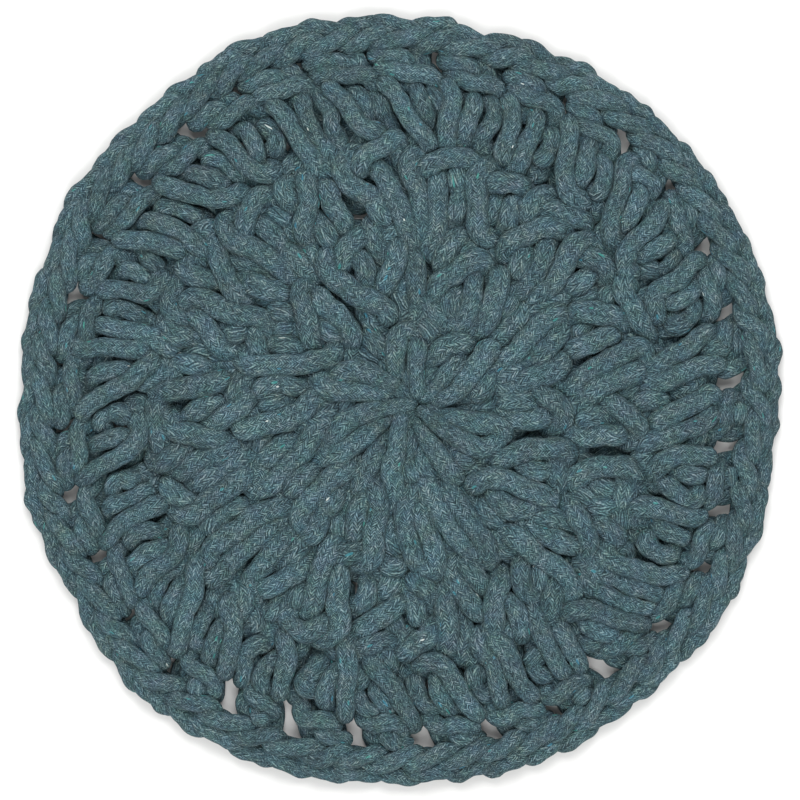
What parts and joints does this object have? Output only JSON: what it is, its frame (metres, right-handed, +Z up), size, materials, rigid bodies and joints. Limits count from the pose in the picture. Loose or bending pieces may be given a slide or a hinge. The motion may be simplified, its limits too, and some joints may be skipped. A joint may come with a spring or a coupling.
{
  "type": "crocheted trivet",
  "caption": "Round flat crocheted trivet in thick teal-grey cotton cord, worked in rounds with a braided edge, to stand a hot dish on.",
  "frame": {"origin": "under the middle of the mat's plan box, on the face that lies on the table", "axes": "+Z up, out of the worked face; +Y towards the far side and +X to the right as seen from above"},
  "size_m": [0.2028, 0.2046, 0.012],
  "materials": {
    "cotton_cord": "matt, soft, knitted cord with pale flecks"
  },
  "bodies": {
    "root": {"trivet": "cotton_cord"}
  },
  "joints": []
}
